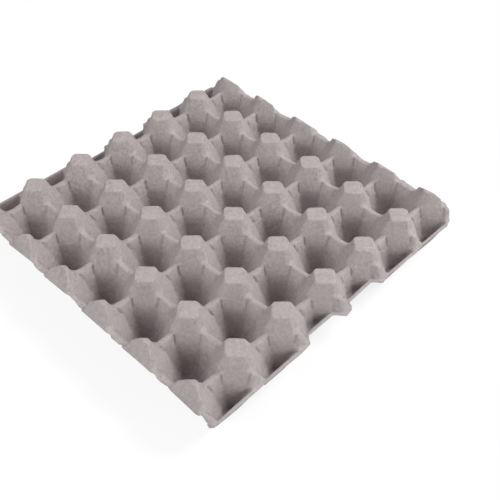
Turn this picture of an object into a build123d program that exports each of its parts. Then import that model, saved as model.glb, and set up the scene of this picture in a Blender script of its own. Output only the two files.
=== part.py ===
"""Moulded pulp tray for thirty eggs.

The tray is one thin shell. Tall posts stand at the crossings of a grid, low
saddles join neighbouring posts, and an egg cup hangs between every four of
them. The shell is the difference of two forms: the upper form is what the
eggs see, and the lower form is the same shape one wall further in, open to
the surface that the tray stands on.
"""

import os
from math import sqrt

from build123d import *

os.makedirs("parts", exist_ok=True)

# Layout
cups_x = 5  # full cups along X, with a row of half cups beyond each end
cups_y = 6  # full cups along Y, ended by half posts
pitch_x = 50.0
pitch_y = 48.0
wall = 2.0

# Heights above the surface that the tray stands on
tray_height = 46.0
saddle_height = 34.5
mouth_height = 25.3
side_rim_height = 23.8

# Posts, square in section and turned by 45 degrees, with bevelled corners
post_flat = 16.0  # across the top
post_foot = 35.0  # across the post at the mouth of the cups
flank_top = 9.8  # from the post's axis to its bevelled corner at the top
flank_foot = 14.3  # the same at the saddle

# Saddles
crest_width = 4.2
saddle_foot = 11.4  # thickness at the mouth of the cups

# Cups: drops are measured down from the mouth, insets in from its outline
shoulder_drop = 9.0
shoulder_inset = 2.4
belly_drop = 17.0
belly_inset = 6.4
floor_inset = 10.4
side_cup_drop = 21.0
side_cup_inset = 7.0
notch_cup_drop = 14.0
notch_cup_inset = 3.4

# Edges
rim_flange = 3.0  # beyond the line of the half posts
half_post_cut = 6.0  # from the line of the half posts in to the edge of their top
side_reach = 26.0  # from the last full posts to the side rim
side_lip = 2.5  # width of the side rim
side_draft = 22.0  # angle by which the outer wall of a half cup leans in
lobe_reach = 20.0  # from the last full posts to where their outer saddle ends
lobe_foot = 23.0  # from the last full posts to the foot of that saddle's end
notch_depth = 6.5  # two finger notches, at the middle half cups of each side rim
notch_length = 40.0
notch_run = 6.0  # length of each slanted end of a notch
corner_radius = 11.0

# Places worked out from the sizes above
last_x = cups_x * pitch_x / 2
last_y = cups_y * pitch_y / 2
half_x = last_x + side_reach
half_y = last_y + rim_flange
over = 2.0  # how far a cutting form passes what it cuts
top = tray_height + over
mouth = (mouth_height, 0.0)
shoulder = (mouth_height - shoulder_drop, shoulder_inset)
belly = (mouth_height - belly_drop, belly_inset)
cup_floor = (wall, floor_inset)
side_floor = (mouth_height - side_cup_drop, side_cup_inset)
notch_floor = (mouth_height - notch_cup_drop, notch_cup_inset)
rows = [(row - (cups_y - 1) / 2) * pitch_y for row in range(cups_y)]
notch_rows = [y for y in rows if abs(y) < pitch_y]
side_rows = [y for y in rows if abs(y) >= pitch_y]


def between(height, low, low_value, high, high_value):
    """A size that changes evenly from one height to another."""
    return low_value + (high_value - low_value) * (height - low) / (high - low)


def post_face(height):
    """From a post's axis to one of its four faces."""
    return between(height, mouth_height, post_foot, tray_height, post_flat) / 2


def flank(height):
    """From a post's axis to one of its bevelled corners."""
    return between(height, saddle_height, flank_foot, tray_height, flank_top)


def saddle_side(height):
    """From the line of the posts to the side of a saddle."""
    level = min(height, saddle_height)
    return between(level, mouth_height, saddle_foot, saddle_height, crest_width) / 2


def cup_outline(height, inset, skin):
    """The octagon of a full cup, seen from above and centred on the cup."""
    level = max(height, mouth_height)
    step = inset - skin
    side_x = pitch_x / 2 - saddle_side(level) - step
    side_y = pitch_y / 2 - saddle_side(level) - step
    corner = (pitch_x + pitch_y) / 2 - (post_face(level) + step) * sqrt(2)
    quarter = [(side_x, corner - side_x), (corner - side_y, side_y)]
    left = [(-x, y) for x, y in reversed(quarter)]
    return quarter + left + [(-x, -y) for x, y in quarter + left]


def side_cup_outline(height, inset, skin):
    """A half cup seen from above, from the line of the last posts outwards."""
    level = max(height, mouth_height)
    step = inset - skin
    side_x = saddle_side(level) + step
    side_y = pitch_y / 2 - saddle_side(level) - step
    corner = (post_face(level) + step) * sqrt(2) - pitch_y / 2
    upper = [(side_x, side_x - corner), (corner + side_y, side_y), (2 * side_reach, side_y)]
    return upper + [(x, -y) for x, y in reversed(upper)]


def stack(outline, levels, skin):
    """Join the outlines at several levels into one solid with flat facets."""
    rings = [[(x, y, height) for x, y in outline(height, inset, skin)] for height, inset in sorted(levels)]
    faces = [Face(Wire.make_polygon(ring)) for ring in (rings[0], rings[-1])]
    for low, high in zip(rings, rings[1:]):
        for corner in range(len(low)):
            around = [low[corner - 1], low[corner], high[corner], high[corner - 1]]
            faces.append(Face(Wire.make_polygon(around)))
    return Solid(Shell(faces))


def lowered(levels, skin):
    """Levels of the outside of a cup, whose floor is one skin further down."""
    depth = levels[0][0] - levels[-1][0]
    return [(height - skin * ((levels[0][0] - height) / depth) ** 2, inset) for height, inset in levels]


def full_cup(skin):
    """The space of a full cup, from its floor up past the tops of the posts."""
    above = [mouth, (saddle_height, 0.0), (top, 0.0)]
    below = lowered([mouth, shoulder, belly, cup_floor], skin)
    with BuildPart() as form:
        add(stack(cup_outline, above, skin))
        add(stack(cup_outline, below, skin))
    return form.part


def side_cup(levels, shift, skin):
    """The space of a half cup, open outwards above its rim."""
    above = [mouth, (saddle_height, 0.0), (top, 0.0)]
    lean = Vector(1, 0, 0).rotate(Axis.Y, side_draft)
    foot = Vector(side_reach - side_lip - shift, 0, side_rim_height) + lean * skin
    with BuildPart() as form:
        add(stack(side_cup_outline, lowered(levels, skin), skin))
        split(bisect_by=Plane(origin=foot, z_dir=lean), keep=Keep.BOTTOM)
        add(stack(side_cup_outline, above, skin))
    return form.part


def gaps(plane, pitch, count, length, skin):
    """The spaces above the saddles, as long bars that cross the tray."""
    low = pitch / 2 - flank_foot
    high = pitch / 2 - flank(top)
    with BuildPart() as form:
        with BuildSketch(plane) as profile:
            with GridLocations(pitch, pitch, count, 1):
                Polygon(
                    (-low, saddle_height),
                    (low, saddle_height),
                    (high, top),
                    (-high, top),
                    align=None,
                )
            if skin > 0:
                offset(amount=skin, kind=Kind.INTERSECTION)
        extrude(amount=length, both=True)
    return form.part


def outside_of_half_posts(skin):
    """The space beyond the sloping outer faces of the half posts."""
    slope = (half_post_cut + rim_flange) / (tray_height - saddle_height)
    inner = last_y - half_post_cut - slope * over
    with BuildPart() as form:
        with BuildSketch(Plane.YZ) as profile:
            Polygon(
                (inner, top),
                (half_y, saddle_height),
                (half_y + 2 * over, saddle_height),
                (half_y + 2 * over, top),
                align=None,
            )
            if skin > 0:
                offset(amount=skin, kind=Kind.INTERSECTION)
            mirror(about=Plane.YZ)
        extrude(amount=half_x + over, both=True)
    return form.part


def outside_of_lobes(shift, length, skin):
    """The space above the side rims, beyond the ends of the outer saddles."""
    with BuildPart() as form:
        with BuildSketch(Plane.XZ) as profile:
            Polygon(
                (last_x + lobe_reach - shift, top),
                (last_x + lobe_reach - shift, saddle_height),
                (last_x + lobe_foot - shift, side_rim_height),
                (half_x + 2 * over, side_rim_height),
                (half_x + 2 * over, top),
                align=None,
            )
            if skin > 0:
                offset(amount=skin, kind=Kind.INTERSECTION)
            mirror(about=Plane.YZ)
        extrude(amount=length, both=True)
    return form.part


def carved(block, skin):
    """Cut every cup, gap and edge out of a block."""
    with BuildPart() as form:
        add(block)
        with GridLocations(pitch_x, pitch_y, cups_x, cups_y):
            add(full_cup(skin), mode=Mode.SUBTRACT)
        for side in (0, 180):
            with Locations(Rotation(0, 0, side)):
                with Locations([(last_x, y) for y in side_rows]):
                    add(side_cup([mouth, shoulder, belly, side_floor], 0.0, skin), mode=Mode.SUBTRACT)
                with Locations([(last_x, y) for y in notch_rows]):
                    add(side_cup([mouth, shoulder, notch_floor], notch_depth, skin), mode=Mode.SUBTRACT)
        add(gaps(Plane.XZ, pitch_x, cups_x + 2, half_y + over, skin), mode=Mode.SUBTRACT)
        add(gaps(Plane.YZ, pitch_y, cups_y, half_x + over, skin), mode=Mode.SUBTRACT)
        add(outside_of_half_posts(skin), mode=Mode.SUBTRACT)
        add(outside_of_lobes(0.0, half_y + over, skin), mode=Mode.SUBTRACT)
        with Locations([(0, y) for y in notch_rows]):
            add(outside_of_lobes(notch_depth, notch_length / 2 + skin, skin), mode=Mode.SUBTRACT)
    return form.part


with BuildPart() as upper_block:
    with BuildSketch():
        Rectangle(2 * half_x, 2 * half_y)
        fillet(vertices(), corner_radius)
        with Locations([(half_x, y) for y in notch_rows]):
            Polygon(
                (0, notch_length / 2),
                (-notch_depth, notch_length / 2 - notch_run),
                (-notch_depth, notch_run - notch_length / 2),
                (0, -notch_length / 2),
                align=None,
                mode=Mode.SUBTRACT,
            )
        with Locations([(-half_x, y) for y in notch_rows]):
            Polygon(
                (0, notch_length / 2),
                (notch_depth, notch_length / 2 - notch_run),
                (notch_depth, notch_run - notch_length / 2),
                (0, -notch_length / 2),
                align=None,
                mode=Mode.SUBTRACT,
            )
    extrude(amount=tray_height)

with BuildPart() as lower_block:
    with BuildSketch(Plane.XY.offset(-over)):
        Rectangle(2 * (half_x + over), 2 * (half_y + over))
    extrude(amount=tray_height + over - wall)

with BuildPart() as egg_tray:
    add(carved(upper_block.part, 0.0))
    add(carved(lower_block.part, wall), mode=Mode.SUBTRACT)

egg_tray.part.label = "egg_tray"
export_step(egg_tray.part, "parts/egg_tray.step")
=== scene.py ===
"""Looks of the moulded pulp egg tray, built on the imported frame.

The CAD shell gives the form. A copy of it gets the soft saddles, narrow
slits and slightly ragged rims of pulp that dried in its mould, and a mottled
fibre material.
"""

import math

import bmesh
import bpy
import numpy as np
from mathutils import Matrix, Vector, noise


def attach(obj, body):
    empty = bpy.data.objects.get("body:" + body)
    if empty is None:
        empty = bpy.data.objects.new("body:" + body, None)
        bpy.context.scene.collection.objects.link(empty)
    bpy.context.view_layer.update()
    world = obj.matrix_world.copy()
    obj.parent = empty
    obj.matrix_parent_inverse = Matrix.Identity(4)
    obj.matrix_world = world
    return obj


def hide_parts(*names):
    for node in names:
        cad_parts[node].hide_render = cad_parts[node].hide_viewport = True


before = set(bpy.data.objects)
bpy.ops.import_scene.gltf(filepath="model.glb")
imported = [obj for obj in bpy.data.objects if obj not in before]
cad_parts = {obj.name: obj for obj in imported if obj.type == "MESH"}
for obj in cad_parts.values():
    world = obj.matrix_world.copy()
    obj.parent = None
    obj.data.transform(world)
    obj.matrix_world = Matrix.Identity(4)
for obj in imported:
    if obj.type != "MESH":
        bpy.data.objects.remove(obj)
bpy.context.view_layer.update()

# Sizes of the tray, in metres, as in its source
PITCH_X = 0.050
PITCH_Y = 0.048
HALF_X = 0.151
HALF_Y = 0.147
TRAY_HEIGHT = 0.046
SADDLE_HEIGHT = 0.0345
MOUTH_HEIGHT = 0.0253
POST_FLAT = 0.016
POST_FOOT = 0.035
CREST_WIDTH = 0.0042
SADDLE_FOOT = 0.0114

# Mesh
WELD = 0.000002
VOXEL = 0.0009
SMOOTH_STEPS = 2
TRIANGLES = 185000

# Saddles: the softened part of each, measured from its middle and its line
CREST_STEPS = 34
CREST_SAG = 0.0016
CREST_REACH_X = 0.0105
CREST_REACH_Y = 0.0095
CREST_BAND = 0.009
CREST_BELOW = 0.010
CREST_ABOVE = 0.001
CREST_SHARE = 0.15

# Slits between the saddles and the posts
SLIT_DEPTH = 0.0017
SLIT_RADIUS = 0.0013
SLIT_MARGIN = 0.001
SLIT_FADE = 0.002

# Unevenness of dried pulp: size of a wave, its place in the noise, its height
# everywhere and what the ragged rims add to it
NOISE_SEED = 1
WAVES = ((0.055, 4.1, 0.0008, 0.0), (0.011, 7.7, 0.0005, 0.0014), (0.0045, 9.3, 0.00022, 0.0009))
RIM_BAND = 0.006
RIM_FOOT = 0.018
RIM_FADE = 0.004

# Photograph's camera
CAMERA_PLACE = (0.3481, -0.3078, 0.4632)
CAMERA_AZIMUTH = 44.63
CAMERA_ELEVATION = 45.99
CAMERA_LENS = 52.38

# Studio
LAMP_DISTANCE = 1.5
FLOOR_REACH = 4.0
FLOOR_DROP = 0.0003  # keeps the floor clear of the cups' floors
WHITE = (1.0, 1.0, 1.0, 1.0)


def look_from(azimuth, elevation):
    """Axes of something that looks down at the tray from a compass direction."""
    a, e = math.radians(azimuth), math.radians(elevation)
    back = Vector((math.sin(a) * math.cos(e), -math.cos(a) * math.cos(e), math.sin(e)))
    right = Vector((math.cos(a), math.sin(a), 0))
    up = back.cross(right)
    return Matrix((right, up, back)).transposed().to_4x4()


def add_camera():
    data = bpy.data.cameras.new("camera")
    data.lens = CAMERA_LENS
    data.clip_start = 0.01
    camera = bpy.data.objects.new("camera", data)
    axes = look_from(CAMERA_AZIMUTH, CAMERA_ELEVATION)
    camera.matrix_world = Matrix.Translation(CAMERA_PLACE) @ axes
    bpy.context.scene.collection.objects.link(camera)
    bpy.context.scene.camera = camera


def add_lamp(name, azimuth, elevation, size, power):
    """A round soft lamp that points at the middle of the tray."""
    data = bpy.data.lights.new(name, "AREA")
    data.shape = "DISK"
    data.size = size
    data.energy = power
    lamp = bpy.data.objects.new(name, data)
    axes = look_from(azimuth, elevation)
    lamp.matrix_world = Matrix.Translation(axes.col[2].to_3d() * LAMP_DISTANCE) @ axes
    bpy.context.scene.collection.objects.link(lamp)


def apply_modifiers(obj):
    """Turn what the modifiers make into the object's own mesh."""
    depsgraph = bpy.context.evaluated_depsgraph_get()
    made = bpy.data.meshes.new_from_object(obj.evaluated_get(depsgraph))
    obj.modifiers.clear()
    obj.data = made


def read_points(mesh):
    points = np.empty(len(mesh.vertices) * 3)
    mesh.vertices.foreach_get("co", points)
    return points.reshape(-1, 3)


def write_points(mesh, points):
    mesh.vertices.foreach_set("co", points.ravel())
    mesh.update()


def ramp(value, start, length):
    """Rise from 0 to 1 over a length."""
    return np.clip((value - start) / length, 0, 1)


def bump(distance, reach):
    """One at no distance, falling to 0 at the reach."""
    return np.clip(1 - (distance / reach) ** 2, 0, 1)


def soften_crests(tray):
    """Let each saddle sag and round its middle, but leave its ends sharp beside the posts."""
    points = read_points(tray.data)
    line_x = np.abs(np.mod(points[:, 0], PITCH_X) - PITCH_X / 2)
    line_y = np.abs(np.mod(points[:, 1] + PITCH_Y / 2, PITCH_Y) - PITCH_Y / 2)
    height = points[:, 2]
    middle_x = np.where(line_y < CREST_BAND, bump(PITCH_X / 2 - line_x, CREST_REACH_X), 0)
    middle_y = np.where(line_x < CREST_BAND, bump(PITCH_Y / 2 - line_y, CREST_REACH_Y), 0)
    middle = np.maximum(middle_x, middle_y)
    crest = (height > SADDLE_HEIGHT - CREST_BELOW) & (height < SADDLE_HEIGHT + CREST_ABOVE)

    group = tray.vertex_groups.new(name="crests")
    group.add(np.nonzero(crest & (middle > CREST_SHARE))[0].tolist(), 1.0, "REPLACE")
    rise = ramp(height, MOUTH_HEIGHT, SADDLE_HEIGHT - MOUTH_HEIGHT)
    points[:, 2] -= CREST_SAG * middle * np.where(crest, rise, 0)
    write_points(tray.data, points)

    rounder = tray.modifiers.new("rounder", "SMOOTH")
    rounder.vertex_group = group.name
    rounder.factor = 0.5
    rounder.iterations = CREST_STEPS
    apply_modifiers(tray)


def slit_corners(height):
    """The two corners that bound the post side of a cup's octagon, by height."""
    above = height - MOUTH_HEIGHT
    narrowing = (SADDLE_FOOT - CREST_WIDTH) / 2 / (SADDLE_HEIGHT - MOUTH_HEIGHT)
    saddle = SADDLE_FOOT / 2 - narrowing * above
    slope = (POST_FOOT - POST_FLAT) / 2 / (TRAY_HEIGHT - MOUTH_HEIGHT)
    face = POST_FOOT / 2 - slope * above
    side_x = PITCH_X / 2 - saddle
    side_y = PITCH_Y / 2 - saddle
    across = (PITCH_X + PITCH_Y) / 2 - face * math.sqrt(2)
    return (side_x, across - side_x), (across - side_y, side_y)


def press_slits(tray):
    """Press the narrow slits between the saddles and the posts into the pulp."""
    points = read_points(tray.data)
    cup_x = PITCH_X * np.round(points[:, 0] / PITCH_X)
    cup_y = PITCH_Y * (np.floor(points[:, 1] / PITCH_Y) + 0.5)
    from_cup = points[:, :2] - np.stack((cup_x, cup_y), axis=1)
    folded = np.abs(from_cup)
    outwards = from_cup / np.maximum(np.linalg.norm(from_cup, axis=1, keepdims=True), 1e-6)
    height = points[:, 2]
    low = ramp(height, MOUTH_HEIGHT - SLIT_MARGIN, SLIT_FADE)
    high = ramp(-height, SLIT_MARGIN - SADDLE_HEIGHT, SLIT_FADE)
    for corner_x, corner_y in slit_corners(height):
        away = np.hypot(folded[:, 0] - corner_x, folded[:, 1] - corner_y)
        depth = SLIT_DEPTH * bump(away, SLIT_RADIUS) * low * high
        points[:, :2] += outwards * depth[:, None]
    write_points(tray.data, points)


def wave(point, size, seed):
    return noise.noise_vector(Vector(point) / size + Vector((seed, 2 * seed, 3 * seed)))


def warp(tray):
    """Let the tray sag and its rims run unevenly, as dried pulp does."""
    noise.seed_set(NOISE_SEED)  # unseeded, the waves differ from run to run
    points = read_points(tray.data)
    for point in points:
        edge = max(abs(point[0]) - HALF_X, abs(point[1]) - HALF_Y) + RIM_BAND
        at_rim = min(max(edge / RIM_BAND, 0.0), 1.0)
        ragged = at_rim * min(max((point[2] - RIM_FOOT) / RIM_FADE, 0.0), 1.0)
        lift = min(point[2] / MOUTH_HEIGHT, 1.0)
        shift = Vector((0, 0, 0))
        for size, seed, everywhere, added_at_rim in WAVES:
            shift += wave(point, size, seed) * (everywhere + ragged * added_at_rim)
        point += (shift.x, shift.y, shift.z * lift)
    write_points(tray.data, points)


def pulp_tray():
    """A softened copy of the CAD shell."""
    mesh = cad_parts["egg_tray"].data.copy()
    tray = bpy.data.objects.new("pulp_tray", mesh)
    bpy.context.scene.collection.objects.link(tray)
    form = bmesh.new()
    form.from_mesh(mesh)
    bmesh.ops.remove_doubles(form, verts=form.verts, dist=WELD)
    form.to_mesh(mesh)
    form.free()

    remesh = tray.modifiers.new("remesh", "REMESH")
    remesh.mode = "VOXEL"
    remesh.voxel_size = VOXEL
    soften = tray.modifiers.new("soften", "SMOOTH")
    soften.factor = 0.5
    soften.iterations = SMOOTH_STEPS
    apply_modifiers(tray)

    soften_crests(tray)
    press_slits(tray)

    # The remesh gives quads, so there are two triangles to a face
    fewer = tray.modifiers.new("fewer", "DECIMATE")
    fewer.ratio = min(1.0, TRIANGLES / (2 * len(tray.data.polygons)))
    apply_modifiers(tray)

    warp(tray)
    tray.data.polygons.foreach_set("use_smooth", [True] * len(tray.data.polygons))
    return tray


def node(tree, kind, inputs=None, **settings):
    """Add a shader node, with its settings and the values of its sockets."""
    made = tree.nodes.new(kind)
    for name, value in settings.items():
        setattr(made, name, value)
    for name, value in (inputs or {}).items():
        if isinstance(value, bpy.types.NodeSocket):
            tree.links.new(value, made.inputs[name])
        else:
            made.inputs[name].default_value = value
    return made


def noise_at(tree, place, scale, detail, roughness):
    inputs = {"Vector": place, "Scale": scale, "Detail": detail, "Roughness": roughness}
    return node(tree, "ShaderNodeTexNoise", inputs).outputs["Fac"]


def scaled(tree, value, factor):
    return node(tree, "ShaderNodeMath", {0: value, 1: factor}, operation="MULTIPLY").outputs["Value"]


def added(tree, first, second):
    return node(tree, "ShaderNodeMath", {0: first, 1: second}, operation="ADD").outputs["Value"]


def tinted(tree, under, colour, pattern, low, high, strength=1.0):
    """Lay a colour over another where a pattern passes from low to high."""
    inputs = {"Value": pattern, "From Min": low, "From Max": high, "To Max": strength}
    amount = node(tree, "ShaderNodeMapRange", inputs).outputs["Result"]
    inputs = {0: amount, 6: under, 7: colour}
    return node(tree, "ShaderNodeMix", inputs, data_type="RGBA").outputs[2]


def shown_to(tree, seen, unseen, output):
    """Give the background's own look to the rays that show it, and a dim one to the rest.

    Those rays come from the camera, or reach the background mirrored or
    through glass.
    """
    path = node(tree, "ShaderNodeLightPath").outputs
    mirrored = added(tree, path["Is Glossy Ray"], path["Is Transmission Ray"])
    rays = added(tree, path["Is Camera Ray"], mirrored)
    both = node(tree, "ShaderNodeMixShader", {0: rays, 1: unseen, 2: seen})
    tree.links.new(both.outputs["Shader"], tree.nodes[output].inputs["Surface"])


def pulp_material():
    """Grey pulp with a warm cast, mottled by short fibres of recycled paper."""
    material = bpy.data.materials.new("pulp")
    material.use_nodes = True
    tree = material.node_tree
    shader = tree.nodes["Principled BSDF"]
    place = node(tree, "ShaderNodeTexCoord").outputs["Object"]

    mottle = noise_at(tree, place, 380.0, 5.0, 0.75)
    blotch = noise_at(tree, place, 70.0, 3.0, 0.6)
    drift = noise_at(tree, place, 9.0, 2.0, 0.5)
    inputs = {"Vector": place, "Scale": (1.0, 0.22, 0.5), "Rotation": (0.3, 0.5, 0.7)}
    stretched = node(tree, "ShaderNodeMapping", inputs).outputs["Vector"]
    fibre = noise_at(tree, stretched, 900.0, 3.0, 0.6)

    pulp = tinted(tree, (0.270, 0.236, 0.236, 1), (0.470, 0.418, 0.418, 1), mottle, 0.36, 0.66)
    pulp = tinted(tree, pulp, (0.385, 0.343, 0.342, 1), blotch, 0.30, 0.75, 0.7)
    pulp = tinted(tree, pulp, (0.345, 0.322, 0.318, 1), drift, 0.35, 0.65, 0.35)
    pulp = tinted(tree, pulp, (0.190, 0.165, 0.160, 1), fibre, 0.66, 0.74, 0.35)
    pulp = tinted(tree, pulp, (0.520, 0.480, 0.475, 1), fibre, 0.34, 0.26, 0.30)
    tree.links.new(pulp, shader.inputs["Base Color"])

    height = added(tree, scaled(tree, mottle, 0.6), scaled(tree, fibre, 0.4))
    inputs = {"Height": height, "Strength": 0.6, "Distance": 0.0007}
    relief = node(tree, "ShaderNodeBump", inputs).outputs["Normal"]
    tree.links.new(relief, shader.inputs["Normal"])
    shader.inputs["Roughness"].default_value = 0.95
    shader.inputs["Specular IOR Level"].default_value = 0.15
    return material


def add_floor():
    """A white floor that keeps a faint shadow round the tray."""
    mesh = bpy.data.meshes.new("floor")
    square = ((-1, -1), (1, -1), (1, 1), (-1, 1))
    corners = [(FLOOR_REACH * x, FLOOR_REACH * y, -FLOOR_DROP) for x, y in square]
    mesh.from_pydata(corners, [], [(0, 1, 2, 3)])
    floor = bpy.data.objects.new("floor", mesh)
    bpy.context.scene.collection.objects.link(floor)

    material = bpy.data.materials.new("floor")
    material.use_nodes = True
    tree = material.node_tree
    dim = tree.nodes["Principled BSDF"]
    dim.inputs["Base Color"].default_value = (0.5, 0.5, 0.5, 1)
    dim.inputs["Roughness"].default_value = 1.0

    # White glow over a white surface: the shadow shows a little near the tray only
    pale = node(tree, "ShaderNodeBsdfDiffuse", {"Color": WHITE}).outputs["BSDF"]
    glow = node(tree, "ShaderNodeEmission", {"Color": WHITE, "Strength": 1.0}).outputs["Emission"]
    place = node(tree, "ShaderNodeTexCoord").outputs["Object"]
    away = node(tree, "ShaderNodeVectorMath", {0: place}, operation="LENGTH").outputs["Value"]
    inputs = {"Value": away, "From Min": 0.16, "From Max": 0.34, "To Min": 0.8, "To Max": 1.0}
    share = node(tree, "ShaderNodeMapRange", inputs, interpolation_type="SMOOTHSTEP")
    inputs = {0: share.outputs["Result"], 1: pale, 2: glow}
    white = node(tree, "ShaderNodeMixShader", inputs).outputs["Shader"]
    shown_to(tree, white, dim.outputs["BSDF"], "Material Output")
    mesh.materials.append(material)


def set_world():
    """White where it is seen, and a dim even light for everything else."""
    world = bpy.data.worlds.new("studio")
    bpy.context.scene.world = world
    world.use_nodes = True
    tree = world.node_tree
    dim = tree.nodes["Background"]
    dim.inputs["Color"].default_value = (1.0, 0.98, 0.98, 1)
    dim.inputs["Strength"].default_value = 0.21
    inputs = {"Color": WHITE, "Strength": 1.0}
    white = node(tree, "ShaderNodeBackground", inputs).outputs["Background"]
    shown_to(tree, white, dim.outputs["Background"], "World Output")


add_camera()
tray = pulp_tray()
tray.data.materials.clear()
tray.data.materials.append(pulp_material())
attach(tray, "root")
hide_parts("egg_tray")

add_floor()
set_world()
add_lamp("key", azimuth=150.0, elevation=42.0, size=0.7, power=22.0)
add_lamp("fill", azimuth=-22.0, elevation=40.0, size=0.9, power=12.0)
add_lamp("front", azimuth=52.0, elevation=20.0, size=0.8, power=8.0)
bpy.context.scene.view_settings.view_transform = "Standard"
